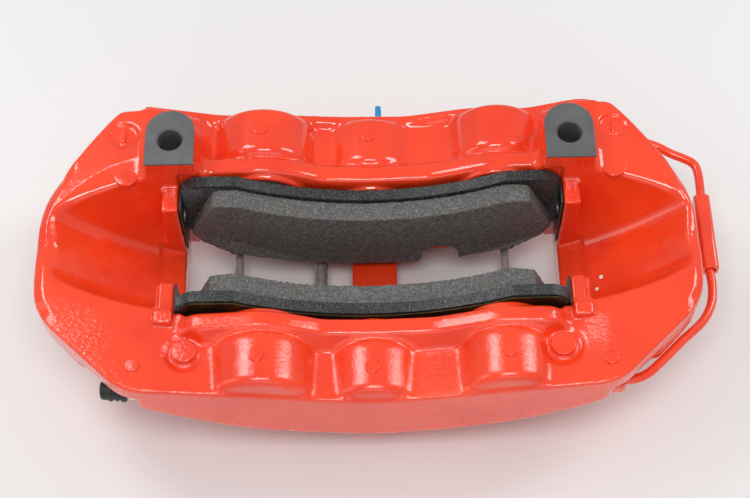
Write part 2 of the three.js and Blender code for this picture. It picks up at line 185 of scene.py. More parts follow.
class Shade:
    """A Principled material and the few kinds of node that the finishes here are made of."""

    def __init__(self, name, colour, roughness, metallic=0.0):
        self.material = bpy.data.materials.new(name)
        self.material.use_nodes = True
        self.tree = self.material.node_tree
        self.bsdf = self.tree.nodes["Principled BSDF"]
        self.set("Base Color", (*colour, 1))
        self.set("Roughness", roughness)
        self.set("Metallic", metallic)
        self.place = self.tree.nodes.new("ShaderNodeTexCoord").outputs["Object"]
        self.bumps = []

    def set(self, socket, value):
        self.bsdf.inputs[socket].default_value = value

    def wire(self, source, target):
        self.tree.links.new(source, target)

    def colour(self, source):
        self.wire(source, self.bsdf.inputs["Base Color"])

    def gloss(self, source):
        self.wire(source, self.bsdf.inputs["Roughness"])

    def noise(self, size_mm, detail=3.0, roughness=0.55, stretch=None):
        node = self.tree.nodes.new("ShaderNodeTexNoise")
        node.inputs["Scale"].default_value = 1 / (size_mm * MM)
        node.inputs["Detail"].default_value = detail
        node.inputs["Roughness"].default_value = roughness
        source = self.place
        if stretch:
            scale = self.tree.nodes.new("ShaderNodeMapping")
            scale.inputs["Scale"].default_value = stretch
            self.wire(self.place, scale.inputs["Vector"])
            source = scale.outputs["Vector"]
        self.wire(source, node.inputs["Vector"])
        return node.outputs["Fac"]

    def cells(self, size_mm):
        node = self.tree.nodes.new("ShaderNodeTexVoronoi")
        node.inputs["Scale"].default_value = 1 / (size_mm * MM)
        self.wire(self.place, node.inputs["Vector"])
        return node.outputs["Distance"]

    def ramp(self, source, stops):
        node = self.tree.nodes.new("ShaderNodeValToRGB")
        ramp = node.color_ramp
        while len(ramp.elements) < len(stops):
            ramp.elements.new(0.5)
        for element, (position, colour) in zip(ramp.elements, stops):
            element.position = position
            element.color = (*colour, 1) if len(colour) == 3 else colour
        self.wire(source, node.inputs["Fac"])
        return node.outputs["Color"]

    def grey(self, source, a, va, b, vb):
        return self.ramp(source, [(a, (va,) * 3), (b, (vb,) * 3)])

    def math(self, operation, a, b):
        node = self.tree.nodes.new("ShaderNodeMath")
        node.operation = operation
        for socket, value in zip(node.inputs, (a, b)):
            if isinstance(value, (int, float)):
                socket.default_value = value
            else:
                self.wire(value, socket)
        return node.outputs["Value"]

    def range(self, source, a, b, to_a=0.0, to_b=1.0):
        node = self.tree.nodes.new("ShaderNodeMapRange")
        for name, value in (("From Min", a), ("From Max", b), ("To Min", to_a), ("To Max", to_b)):
            node.inputs[name].default_value = value
        self.wire(source, node.inputs["Value"])
        return node.outputs["Result"]

    def mix(self, factor, a, b):
        node = self.tree.nodes.new("ShaderNodeMix")
        node.data_type = "RGBA"
        for socket, value in (("Factor", factor), ("A", a), ("B", b)):
            target = [s for s in node.inputs if s.name == socket and s.enabled][0]
            if isinstance(value, (tuple, float, int)):
                target.default_value = (*value, 1) if isinstance(value, tuple) else value
            else:
                self.wire(value, target)
        return [s for s in node.outputs if s.enabled][0]

    def axis(self, name):
        node = self.tree.nodes.new("ShaderNodeSeparateXYZ")
        self.wire(self.place, node.inputs["Vector"])
        return node.outputs[name]

    def near(self, point, radius_mm):
        """1 within a radius of a point, 0 outside."""
        node = self.tree.nodes.new("ShaderNodeVectorMath")
        node.operation = "DISTANCE"
        self.wire(self.place, node.inputs[0])
        node.inputs[1].default_value = at(*point)
        r = radius_mm * MM
        return self.range(node.outputs["Value"], r, r * 0.85)

    def bump(self, height, depth_mm, strength=1.0):
        node = self.tree.nodes.new("ShaderNodeBump")
        node.inputs["Distance"].default_value = depth_mm * MM
        if isinstance(strength, (int, float)):
            node.inputs["Strength"].default_value = strength
        else:
            self.wire(strength, node.inputs["Strength"])
        self.wire(height, node.inputs["Height"])
        if self.bumps:
            self.wire(self.bumps[-1].outputs["Normal"], node.inputs["Normal"])
        self.bumps.append(node)
        self.wire(node.outputs["Normal"], self.bsdf.inputs["Normal"])
        self.wire(node.outputs["Normal"], self.bsdf.inputs["Coat Normal"])


RED = (0.88, 0.056, 0.012)
RED_DEEP = (0.80, 0.040, 0.009)
PAINT_MARKS = [((118.7, -5.7, -35.2), 1.2), ((116.3, -11.8, -37.0), 1.0)]


def red_paint():
    """Glossy baked orange-red over a sand-cast surface: the grain shows through, more outboard."""
    s = Shade("red_paint", RED, 0.34)
    colour = s.ramp(s.noise(38, 2), [(0.35, RED_DEEP), (0.62, RED)])
    grain = s.noise(1.1, 4, 0.6)
    colour = s.mix(s.range(grain, 0.62, 0.75, 0, 0.3), colour, (0.92, 0.07, 0.035))
    gloss = s.grey(s.noise(2.4, 2), 0.4, 0.24, 0.7, 0.34)
    for point, radius in PAINT_MARKS:
        colour = s.mix(s.near(point, radius), colour, (0.80, 0.78, 0.76))
    s.colour(colour)
    s.gloss(gloss)
    outboard = s.range(s.axis("Y"), at(0, -28, 0).y, at(0, -48, 0).y, 0.12, 1.0)
    ends = s.range(s.axis("X"), at(-70, 0, 0).x, at(-100, 0, 0).x, 0.3, 1.0)
    coarse = s.math("MULTIPLY", outboard, ends)
    s.bump(s.noise(7, 2, 0.5), 0.25, 0.35)
    s.bump(s.noise(2.6, 3, 0.5, stretch=(1.0, 1.4, 1.0)), 0.42, coarse)
    s.bump(grain, 0.11, outboard)
    s.set("Specular IOR Level", 0.1)
    s.set("Coat Weight", 1.0)
    s.set("Coat Roughness", 0.08)
    s.set("Coat IOR", 1.6)
    return s.material


def red_pipe_paint():
    """The same red on drawn tube: smooth, with a faint orange peel."""
    s = Shade("red_pipe_paint", RED, 0.25)
    s.colour(s.ramp(s.noise(20, 2), [(0.3, RED_DEEP), (0.6, RED)]))
    s.bump(s.noise(1.6, 2), 0.06, 0.6)
    s.gloss(s.grey(s.noise(6, 2), 0.4, 0.2, 0.7, 0.3))
    s.set("Coat Weight", 0.8)
    s.set("Coat Roughness", 0.07)
    return s.material


def machined_dark():
    """Dark-grey anodised face, finely milled."""
    s = Shade("machined_dark", (0.09, 0.092, 0.095), 0.5, 0.1)
    lines = s.noise(0.7, 3, 0.6, stretch=(1.0, 0.12, 1.0))
    s.colour(s.ramp(s.noise(9, 3), [(0.3, (0.095, 0.097, 0.100)), (0.7, (0.122, 0.124, 0.127))]))
    s.gloss(s.grey(lines, 0.3, 0.36, 0.7, 0.5))
    s.bump(lines, 0.015, 0.7)
    return s.material


def machined_bore():
    """Bare turned aluminium of the bores."""
    s = Shade("machined_bore", (0.42, 0.42, 0.43), 0.35, 0.9)
    rings = s.noise(0.5, 2, 0.5, stretch=(0.2, 2.0, 0.2))
    s.colour(s.ramp(s.noise(6, 3), [(0.3, (0.34, 0.34, 0.35)), (0.7, (0.5, 0.5, 0.51))]))
    s.gloss(s.grey(rings, 0.3, 0.28, 0.7, 0.45))
    s.bump(rings, 0.02, 0.8)
    return s.material


def friction():
    """Pressed friction compound: grey, open-grained, with bright and dark specks."""
    s = Shade("friction", (0.11, 0.108, 0.104), 0.8)
    base = s.ramp(s.noise(1.3, 5, 0.7), [(0.3, (0.040, 0.039, 0.037)), (0.55, (0.115, 0.113, 0.108)),
                                        (0.75, (0.27, 0.265, 0.255))])
    bright = s.range(s.cells(1.5), 0.16, 0.10)
    dark = s.range(s.cells(2.3), 0.14, 0.10)
    brass = s.range(s.cells(4.2), 0.10, 0.06)
    colour = s.mix(bright, base, (0.30, 0.29, 0.28))
    colour = s.mix(dark, colour, (0.012, 0.012, 0.012))
    colour = s.mix(brass, colour, (0.38, 0.24, 0.11))
    s.colour(colour)
    s.bump(s.noise(2.2, 5, 0.7), 0.5, 0.8)
    s.bump(s.cells(0.8), 0.2, 0.5)
    s.gloss(s.grey(s.noise(1.5, 2), 0.3, 0.6, 0.7, 0.9))
    return s.material


def plate_paint():
    """Powder-coated black steel, lightly speckled and scuffed."""
    s = Shade("plate_paint", (0.016, 0.017, 0.019), 0.45)
    speck = s.range(s.cells(0.6), 0.26, 0.12)
    tone = s.ramp(s.noise(12, 3), [(0.3, (0.009, 0.010, 0.010)), (0.7, (0.020, 0.021, 0.022))])
    s.colour(s.mix(speck, tone, (0.42, 0.42, 0.43)))
    s.bump(s.noise(0.7, 3, 0.6), 0.08, 0.7)
    s.gloss(s.grey(s.noise(3, 3), 0.35, 0.35, 0.7, 0.6))
    return s.material


def metal(name, light, dark, roughness, metallic=0.95):
    """A plated or bare metal with small changes of tone and gloss."""
    s = Shade(name, light, roughness, metallic)
    s.colour(s.ramp(s.noise(5, 4, 0.6), [(0.3, dark), (0.65, light)]))
    s.gloss(s.grey(s.noise(2.0, 4, 0.65), 0.3, roughness * 0.75, 0.7, roughness * 1.3))
    s.bump(s.noise(1.2, 3, 0.6), 0.005, 0.7)
    return s.material


def rubber(name, colour, roughness=0.6):
    s = Shade(name, colour, roughness)
    dusty = tuple(min(1, c * 2.2 + 0.01) for c in colour)
    s.colour(s.ramp(s.noise(6, 4), [(0.35, colour), (0.8, dusty)]))
    s.bump(s.noise(0.5, 3), 0.03, 0.6)
    s.gloss(s.grey(s.noise(3, 3), 0.3, roughness * 0.8, 0.7, roughness * 1.2))
    return s.material


def plastic(name, colour, roughness=0.35):
    s = Shade(name, colour, roughness)
    deep = tuple(c * 0.8 for c in colour)
    s.colour(s.ramp(s.noise(8, 2), [(0.3, deep), (0.7, colour)]))
    s.bump(s.noise(0.9, 2), 0.02, 0.5)
    s.gloss(s.grey(s.noise(4, 2), 0.3, roughness * 0.85, 0.7, roughness * 1.15))
    return s.material


LOOK = {
    "red": red_paint(),
    "red_pipe": red_pipe_paint(),
    "machined": machined_dark(),
    "bore": machined_bore(),
    "friction": friction(),
    "plate": plate_paint(),
    "aluminium": metal("piston_aluminium", (0.52, 0.52, 0.53), (0.40, 0.40, 0.41), 0.35),
    "steel": metal("bright_steel", (0.60, 0.59, 0.57), (0.42, 0.41, 0.39), 0.3, metallic=0.7),
    "plated": metal("zinc_plate", (0.42, 0.38, 0.20), (0.24, 0.23, 0.14), 0.38),
    "dark_steel": metal("dark_steel", (0.10, 0.10, 0.105), (0.05, 0.05, 0.053), 0.4, metallic=0.7),
    "grey_steel": metal("grey_steel", (0.74, 0.73, 0.71), (0.52, 0.52, 0.50), 0.34, metallic=0.6),
    "brass": metal("shim_brass", (0.10, 0.075, 0.035), (0.05, 0.038, 0.02), 0.5),
    "seal": rubber("seal_rubber", (0.012, 0.012, 0.013), 0.5),
    "boot": rubber("boot_rubber", (0.018, 0.018, 0.019), 0.62),
    "cap": rubber("cap_rubber", (0.010, 0.010, 0.011), 0.45),
    "blue": plastic("blue_plastic", (0.02, 0.30, 0.62)),
}
LOOK["nipple"] = LOOK["grey_steel"]

# ---------------------------------------------------------------- mesh helpers


def new_piece(name, shape, look, body="caliper", smooth=35, stands_for=True):
    """Link a mesh or bmesh as a piece that rides on a body and stands for the node of its name."""
    mesh = shape if isinstance(shape, bpy.types.Mesh) else to_mesh(name, shape)
    piece = bpy.data.objects.new(name, mesh)
    bpy.context.scene.collection.objects.link(piece)
    mesh.materials.append(LOOK[look])
    mesh.shade_smooth()
    if smooth:
        mesh.set_sharp_from_angle(angle=math.radians(smooth))
    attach(piece, body)
    if stands_for:
        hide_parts(name)
    return piece


def to_mesh(name, bm):
    bmesh.ops.recalc_face_normals(bm, faces=bm.faces)
    mesh = bpy.data.meshes.new(name)
    bm.to_mesh(mesh)
    bm.free()
    return mesh


def bevelled(piece, width_mm, angle=35, segments=2):
    bevel = piece.modifiers.new("edge", "BEVEL")
    bevel.width = width_mm * MM
    bevel.segments = segments
    bevel.limit_method = "ANGLE"
    bevel.angle_limit = math.radians(angle)


TURNS = {
    "x": lambda a, u, v, centre: (a, centre[0] + u, centre[1] + v),
    "y": lambda a, u, v, centre: (centre[0] + u, a, centre[1] + v),
    "z": lambda a, u, v, centre: (centre[0] + u, centre[1] + v, a),
}


def lathe(bm, axis, centre, profile, sides=64, hexagon=None):
    """Turn (along, radius) points about an axis; the profile closes on itself or on the axis.

    hexagon = (from, to, apothem) cuts flats where the position lies between the two.
    """
    turn = TURNS[axis]
    rings = []
    for along, radius in profile:
        if radius < 1e-6:
            rings.append([bm.verts.new(at(*turn(along, 0, 0, centre)))])
            continue
        ring = []
        for i in range(sides):
            a = 2 * math.pi * i / sides
            r = radius
            if hexagon and hexagon[0] <= along <= hexagon[1]:
                flat = abs((a + math.pi / 6) % (math.pi / 3) - math.pi / 6)
                r = min(radius, hexagon[2] / math.cos(flat))
            ring.append(bm.verts.new(at(*turn(along, r * math.cos(a), r * math.sin(a), centre))))
        rings.append(ring)
    closed = profile[0][1] > 1e-6
    pairs = list(zip(rings, rings[1:] + rings[:1])) if closed else list(zip(rings, rings[1:]))
    for a, b in pairs:
        for i in range(sides):
            j = (i + 1) % sides
            corners = [a[i % len(a)], a[j % len(a)], b[j % len(b)], b[i % len(b)]]
            unique = list(dict.fromkeys(corners))
            if len(unique) > 2:
                bm.faces.new(unique)
    return bm


def rounded(points, radius=0.4, steps=2):
    """Soften every inner corner of an open (along, radius) profile."""
    out = [points[0]]
    for before, here, after in zip(points, points[1:], points[2:]):
        p, h, q = Vector(before), Vector(here), Vector(after)
        r = min(radius, (p - h).length * 0.45, (q - h).length * 0.45)
        a, b = h + (p - h).normalized() * r, h + (q - h).normalized() * r
        for i in range(steps + 1):
            t = i / steps
            out.append(tuple(a * (1 - t) ** 2 + h * 2 * t * (1 - t) + b * t * t))
    out.append(points[-1])
    return out


def join_loops(bm, low, high):
    """A band of faces between two closed loops of as many vertices."""
    for i in range(len(low)):
        j = (i + 1) % len(low)
        bm.faces.new((low[i], low[j], high[j], high[i]))


def prism_y(bm, outline, y0, y1, holes=()):
    """An (x, z) outline carried from y0 to y1; round holes are (x, z, radius)."""
    rings = [outline]
    for x, z, radius in holes:
        turn = [-2 * math.pi * i / 40 for i in range(40)]
        rings.append([(x + radius * math.cos(a), z + radius * math.sin(a)) for a in turn])
    ends = [[[bm.verts.new(at(x, y, z)) for x, z in ring] for ring in rings] for y in (y0, y1)]
    if holes:
        triangles = tessellate_polygon([[Vector((x, z, 0)) for x, z in ring] for ring in rings])
        for end in ends:
            flat = [v for ring in end for v in ring]
            faces = [bm.faces.new([flat[i] for i in triangle]) for triangle in triangles]
            edges = {e for f in faces for e in f.edges}
            bmesh.ops.dissolve_limit(bm, angle_limit=0.01, edges=list(edges),
                                     verts=list({v for f in faces for v in f.verts}))
    else:
        for end in ends:
            bm.faces.new(end[0])
    for low, high in zip(*ends):
        join_loops(bm, low, high)
    return bm


def tube(name, route, radius_mm, sides):
    """A round tube along a smooth line through points, as a mesh with closed ends."""
    points = [at(*p) for p in route]
    path = smooth_path(points)
    bm = bmesh.new()
    rings = []
    side = None
    for i, p in enumerate(path):
        ahead = path[min(i + 1, len(path) - 1)] - path[max(i - 1, 0)]
        ahead.normalize()
        if side is None:
            side = ahead.orthogonal().normalized()
        side = (side - ahead * side.dot(ahead)).normalized()
        across = ahead.cross(side)
        rings.append([
            bm.verts.new(p + (side * math.cos(a) + across * math.sin(a)) * radius_mm * MM)
            for a in (2 * math.pi * k / sides for k in range(sides))
        ])
    for a, b in zip(rings, rings[1:]):
        join_loops(bm, a, b)
    bm.faces.new(rings[0])
    bm.faces.new(rings[-1])
    return to_mesh(name, bm)


def smooth_path(points, steps=8):
    """Catmull-Rom line through points."""
    padded = [points[0] * 2 - points[1], *points, points[-1] * 2 - points[-2]]
    path = []
    for a, b, c, d in zip(padded, padded[1:], padded[2:], padded[3:]):
        for i in range(steps):
            t = i / steps
            path.append(0.5 * (2 * b + (c - a) * t + (2 * a - 5 * b + 4 * c - d) * t * t
                               + (3 * b - a - 3 * c + d) * t ** 3))
    path.append(points[-1])
    return path


# ---------------------------------------------------------------- the casting
# The casting is a solid field on a grid: negative inside, in millimetres. Blends between
# shapes give it the fillets and rounded edges of a sand casting.

GRID = 0.8
GRID_LO = np.array([-170.0, -87.0, -87.0])
GRID_HI = np.array([170.0, 92.0, 21.0])


def smooth_min(a, b, blend):
    h = np.maximum(blend - np.abs(a - b), 0)
    return np.minimum(a, b) - h * h * (0.25 / blend)


def smooth_max(a, b, blend):
    return -smooth_min(-a, -b, blend)


def all_of(*parts, blend=2.0):
    field = parts[0]
    for part in parts[1:]:
        field = smooth_max(field, part, blend)
    return field


def outside(value, low, high):
    """Distance past the nearer end of a range; negative within it."""
    return np.abs(value - (low + high) / 2) - (high - low) / 2


def soft_line(points, x, width):
    """A line through (x, value) points with its corners rounded over a width."""
    u, v = zip(*points)
    shifts = np.linspace(-width, width, 9)
    return sum(np.interp(x + s, u, v) for s in shifts) / len(shifts)


def bar(axis, a, b, p, q, radius, blend=1.0):
    """A round bar along an axis from a to b, centred on p, q of the other two axes."""
    def shape(x, y, z):
        along, u, v = {"x": (x, y, z), "y": (y, x, z), "z": (z, x, y)}[axis]
        away = np.sqrt((u - p) ** 2 + (v - q) ** 2)
        return smooth_max(away - radius, outside(along, a, b), blend)
    return shape


def block(x0, x1, y0, y1, z0, z1, blend=2.0):
    def shape(x, y, z):
        return all_of(outside(x, x0, x1), outside(y, y0, y1), outside(z, z0, z1), blend=blend)
    return shape


def mirrored(shape):
    return lambda x, y, z: shape(np.abs(x), y, z)


class Casting:
    """A field on a grid, with shapes joined to it or cut from it inside their own boxes."""

    def __init__(self, shape):
        axes = [np.arange(lo, hi, GRID, dtype=np.float32) for lo, hi in zip(GRID_LO, GRID_HI)]
        self.axes = axes
        self.field = shape(axes[0][:, None, None], axes[1][None, :, None], axes[2][None, None, :])
        self.field = np.ascontiguousarray(self.field, dtype=np.float32)

    def part(self, lo, hi):
        cuts = []
        for axis, a, b in zip(self.axes, lo, hi):
            i, j = np.searchsorted(axis, [a, b])
            cuts.append(slice(max(0, i - 1), j + 1))
        x, y, z = (axis[c] for axis, c in zip(self.axes, cuts))
        return tuple(cuts), x[:, None, None], y[None, :, None], z[None, None, :]

    def join(self, shape, lo, hi, blend=4.0):
        cuts, x, y, z = self.part(lo, hi)
        self.field[cuts] = smooth_min(self.field[cuts], shape(x, y, z), blend)

    def cut(self, shape, lo, hi, blend=1.5):
        cuts, x, y, z = self.part(lo, hi)
        self.field[cuts] = smooth_max(self.field[cuts], -shape(x, y, z), blend)

    def mesh(self, name):
        grid = openvdb.FloatGrid(3.0)
        grid.copyFromArray(np.clip(self.field / GRID, -3, 3))
        points, _, quads = grid.convertToPolygons(isovalue=0.0, adaptivity=0.0)
        place = (points * GRID + GRID_LO) * MM + np.array(ORIGIN)
        mesh = bpy.data.meshes.new(name)
        faces = [tuple(int(i) for i in f[::-1]) for f in quads]
        mesh.from_pydata(place.tolist(), [], faces)
        mesh.update()
        return mesh


PLAN = [
    (0, 85), (119, 84.5), (129, 76), (136, 68), (160, 33), (164, 24), (166.6, 10),
    (166.6, -26), (165, -34), (159, -45), (124, -78), (114, -82), (0, -82),
]
BACK = [
    (-82, 198), (-72, 207), (-60, 216), (-46, 222), (-40, 229),
    (41, 229), (48, 223), (62, 217), (76, 209), (85, 200),
]
WEB_OUTBOARD = [
    (0, -20.5), (20, -18.5), (40, -15.2), (60, -11.5), (88, -7), (98, -5.6), (106, -4.5),
    (113, -1.5), (130, 1), (167, 3),
]
RIM_OUTBOARD = [
    (0, -18.7), (20, -16.2), (40, -13.0), (60, -9.6), (88, -5), (108, -1.5), (130, 1), (167, 3),
]
WEB_INBOARD = [
    (-167, 3), (-140, 5), (-112, 7), (-98, 2), (-88, -9), (-79, -14.5), (-41, -15.5), (0, -19.8),
    (32, -16.5), (53, -12.5), (83, -12), (90, -8), (98, 2), (112, 7), (140, 5), (167, 3),
]
RIM_INBOARD = [
    (-125, 0), (-119, -0.6), (-79, -11), (-40, -12.7), (-15, -15.1), (19, -15.9), (45, -10.5),
    (53, -8.8), (83, -10), (109, -2), (120, -2.5),
]
RAIL = [
    (-98, -3.3), (-88, 0), (-70, 1), (-56, 2), (-46, 0), (-36, -3.5), (-25, -8.6), (0, -9.9),
    (30, -8.5), (44, -4.5), (50, -2.5), (60, 1), (64, 1.5), (85, 1.5), (93, -0.5), (98, -3.3),
]
RAIL_FLAT, RAIL_FOOT = 48.5, 54.5
END_SHIFT = 2.0  # the end blocks sit this far towards -X
CREASE_INBOARD = [
    (108, 44), (119.6, 47), (133.3, 43), (144.5, 35.5), (154.4, 27.3), (159.5, 19.6), (166, 8),
]
CREASE_OUTBOARD = [(108, 42), (119, 44), (125, 42), (144, 33.6), (156.6, 27), (160, 20), (166, 8)]


def edge_distances(u, v, points):
    """Distance outside the nearest side of an outline whose points go clockwise."""
    parts = []
    for (p0, p1), (q0, q1) in zip(points, points[1:]):
        length = math.hypot(q0 - p0, q1 - p1)
        parts.append(((v - p1) * (q0 - p0) - (u - p0) * (q1 - p1)) / length)
    return parts


def top_height(x, y):
    """Height of the casting's top over a grid of x and y, without bulges, bosses and ears."""
    ax, ay = np.abs(x), np.abs(y)
    rail = soft_line(RAIL, x, 4)
    across = soft_line([(RAIL_FLAT, 0), (RAIL_FOOT, 1)], ay, 0.9)
    far = soft_line([(57, 0), (80, 1)], ay, 2)
    outboard = soft_line(WEB_OUTBOARD, ax, 6) * (1 - far) + soft_line(RIM_OUTBOARD, ax, 6) * far
    back_rim = soft_line([(77.4, 0), (80.6, 1)], ay, 0.8)
    web_in = soft_line(WEB_INBOARD, x, 5)
    inboard = web_in * (1 - back_rim) + soft_line(RIM_INBOARD, x, 5) * back_rim
    web = np.where(y < 0, outboard, inboard)
    on_rail = soft_line([(90, 1), (99, 0)], ax, 2)
    height = web + (rail - web) * (1 - across) * on_rail
    crease = np.where(y < 0, soft_line(CREASE_OUTBOARD, ax, 4), soft_line(CREASE_INBOARD, ax, 4))
    band = np.where(ax > 106, np.clip(crease - ay, 0, 14), 0)
    height = height - band / 6
    plan = np.maximum.reduce(edge_distances(np.abs(x + END_SHIFT), y, PLAN))
    end = np.clip((ax - 150) / 8, 0, 1) * np.clip((46 - ay) / 8, 0, 1)
    return height - np.clip(plan + 5.0, 0, 10) * 0.62 * end


def cast_block(x, y, z):
    """The block between its plan outline, its top, its arched back and its flat foot."""
    plan = all_of(*edge_distances(np.abs(x + END_SHIFT), y, PLAN), blend=2.0)
    flat_x, flat_y = x[:, :, 0], y[:, :, 0]
    height = top_height(flat_x, flat_y)
    slope_x, slope_y = np.gradient(height, GRID)
    tilt = np.sqrt(1 + np.minimum(slope_x ** 2 + slope_y ** 2, 9))
    top = (z - height[:, :, None]) / tilt[:, :, None]
    radius = np.sqrt(x * x + (z - DISC_Z) ** 2)
    arch = soft_line(BACK, y, 2.5)
    fall = np.gradient(arch.ravel(), GRID).reshape(y.shape)
    back = (radius - arch) / np.sqrt(1 + fall ** 2)
    field = smooth_max(top, plan, 1.6)
    field = smooth_max(field, back, 2.0)
    return smooth_max(field, FLOOR_Z - z, 1.5)


def scoop(x, y, z):
    """The tub turned about the disc axis behind each abutment."""
    ax, ay = np.abs(x), np.abs(y)
    radius = np.sqrt(x * x + (z - DISC_Z) ** 2)
    outline = [(0, 38), (182, 34.8), (194, 31), (204, 25.5), (209, 22), (213, 17), (213, -40)]
    tub = all_of(*edge_distances(radius, ay, outline), blend=3.0)
    return smooth_max(tub, np.where(y < 0, POST_X + 1.1, POST_X) - ax, 2.0)


def throat(x, y, z):
    """Slot for the disc between the abutments."""
    radius = np.sqrt(x * x + (z - DISC_Z) ** 2)
    ax = np.abs(x)
    return all_of(radius - 213, np.abs(y) - SLOT, outside(ax, 90, POST_X + 4), blend=1.5)


def ear(x, y, z):
    u = np.abs(x) - EAR_X
    nose = np.sqrt(u * u + np.maximum(y - EAR_ARC_Y, 0) ** 2) - EAR_HALF
    sides = np.where(y > EAR_ARC_Y, nose, np.abs(u) - EAR_HALF)
    draft = np.clip(10.3 - z, 0, 12) * 0.30
    outline = smooth_max(sides - draft, EAR_FRONT - y, 1.5)
    return all_of(outline, z - EAR_TOP - 1.5, -12 - z, blend=1.0)


def build_casting():
    c = Casting(cast_block)
    c.cut(scoop, (-170, -50, -87), (170, 50, 20), blend=2.4)
    c.cut(block(-WINDOW_X, WINDOW_X, -WINDOW_Y, WINDOW_Y, -100, 40, 1.0),
          (-106, -46, -87), (106, 46, 21), 2.0)
    c.cut(block(-93, 93, -WALL_Y, WALL_Y, -100, 40, 3.0), (-100, -47, -87), (100, 47, 21), 3.4)
    c.cut(mirrored(block(119, 185, 77, 99, -95, 40, 2.0)), (-150, 70, -87), (150, 92, 20), 2.4)
    c.cut(throat, (-116, -24, -87), (116, 24, 20), 1.2)
    c.cut(mirrored(block(94, POST_X + 1.5, -WINDOW_Y + 0.5, WINDOW_Y - 2, POST_TOP, 40, 1.2)),
          (-113, -42, -8), (113, 42, 20), 1.2)
    for side in SIDES.values():
        for x, bore, bulge in BORES.values():
            z = bore_z(x)
            y0, y1 = sorted((side * BULGE_START, side * BORE_CAP))
            lo, hi = (x - bulge - 8, -87, z - bulge - 8), (x + bulge + 8, 92, z + bulge + 8)
            c.join(bar("y", y0, y1, x, z, bulge, 5.2), lo, hi, 3.0)
            b0, b1 = sorted((side * WINDOW_Y, side * 46))
            c.join(bar("y", b0, b1, x, z, bore + 5.2, 1.2), lo, hi, 1.5)
    c.join(ear, (-125, 30, -14), (125, 76, 20), 4.5)
    c.cut(block(-WINDOW_X, WINDOW_X, 20, WINDOW_Y, -30, WINDOW_TOP, 0.8),
          (-104, 18, -30), (104, 42, 9), 1.2)
    c.cut(mirrored(block(94, POST_X, 20, EAR_FRONT, POST_TOP, 40, 1.0)),
          (-112, 18, -8), (112, 37, 20), 1.5)
    add_bosses(c)
    cut_ports(c)
    c.cut(block(-90, 90, -90, 95, -100, FLOOR_Z, 0.4), (-90, -87, -87), (90, 92, FLOOR_Z + 4), 0.3)
    return c


def add_bosses(c):
    for x in (-92.5, 92.5):
        c.cut(bar("z", -6.4, 10, x, -59.4, 9.0, 3.0), (x - 16, -76, -10), (x + 16, -43, 12), 3.6)
        c.join(bar("z", -14, -4.4, x, -59.4, 6.0, 2.4), (x - 12, -72, -16), (x + 12, -47, 6), 2.4)
        x0, x1 = sorted((math.copysign(98.8, x), math.copysign(108.6, x)))
        c.join(block(x0, x1, -45, -36.8, -10, -0.6, 1.4), (x0 - 5, -52, -14), (x1 + 5, -32, 6), 0.6)
    for x, y in RINGS:
        c.cut(bar("z", 4.4, 12, x, y, 7.2, 0.6), (x - 10, y - 10, 2), (x + 10, y + 10, 14), 0.8)
        c.join(block(x - 0.9, x + 0.9, y - 4.5, y + 4.5, 2, 5.9, 0.5),
               (x - 4, y - 8, 0), (x + 4, y + 8, 8), 0.6)
    c.join(bar("y", 76, INLET_FACE, INLET_X, INLET_Z, 9.5, 1.6), (-10, 74, -50), (20, 92, -20), 3.0)
    x0, x1, top = BRIDGE
    c.join(block(x0, x1, -44, 44, FLOOR_Z, top, 2.0), (-16, -47, -87), (19, 47, -60), 4.0)


def cut_ports(c):
    """Bores, ports, pin holes and the pockets of the pins and the stay bolt."""
    for side in SIDES.values():
        face = PORT_FACE[side]
        y0, y1 = (-95, -60) if side < 0 else (60, 95)
        c.cut(mirrored(block(face, 185, y0, y1, -95, SHELF_Z, 3.0)),
              (-170, y0 - 6, -87), (170, y1, SHELF_Z + 5), 3.0)
        c.cut(mirrored(bar("x", face - 12, face + 2, side * PORT_Y, PORT_Z, 5.0, 0.6)),
              (-132, side * PORT_Y - 8, -34), (132, side * PORT_Y + 8, -14), 0.8)
        for x, bore, _ in BORES.values():
            z = bore_z(x)
            for radius, a, b in ((bore, 30, BORE_FLOOR), (bore + BOOT_GROOVE, 30, BOOT_END),
                                 (bore + SEAL_GROOVE, SEAL_START, SEAL_END)):
                a, b = sorted((side * a, side * b))
                reach = radius + 3
                c.cut(bar("y", a, b, x, z, radius, 0.6),
                      (x - reach, a - 1, z - reach), (x + reach, b + 3, z + reach), 0.5)
        p0, p1 = sorted((side * 50, side * 70))
        for x in (-PIN_X, PIN_X):
            c.cut(block(x - 8, x + 8, p0, p1, -100, PIN_Z + 9, 3.0),
                  (x - 12, p0 - 3, -87), (x + 12, p1 + 3, PIN_Z + 13), 2.0)
            c.cut(bar("y", min(0, side * 56), max(0, side * 56), x, PIN_Z, PIN_R + 0.5, 0.3),
                  (x - 5, -60, PIN_Z - 5), (x + 5, 60, PIN_Z + 5), 0.4)
        p0, p1 = sorted((side * 48, side * 70))
        c.cut(block(STAY_X - 8, STAY_X + 8, p0, p1, -100, STAY_Z + 8, 3.0),
              (STAY_X - 12, p0 - 3, -87), (STAY_X + 12, p1 + 3, STAY_Z + 12), 2.0)
        c.cut(bar("y", min(0, side * 52), max(0, side * 52), STAY_X, STAY_Z, STAY_R + 0.5, 0.3),
              (STAY_X - 6, -60, STAY_Z - 6), (STAY_X + 6, 60, STAY_Z + 6), 0.4)
        for end in (-1, 1):
            x, y = end * 103, side * SCREW_Y
            c.cut(bar("x", *sorted((end * 96, end * 108)), y, SCREW_Z, 2.3, 0.3),
                  (x - 8, y - 4, SCREW_Z - 4), (x + 8, y + 4, SCREW_Z + 4), 0.4)
    c.cut(bar("y", BORE_FLOOR - 3, INLET_FACE + 3, INLET_X, INLET_Z, 5.0, 0.4),
          (-4, 64, -44), (14, 92, -26), 0.8)


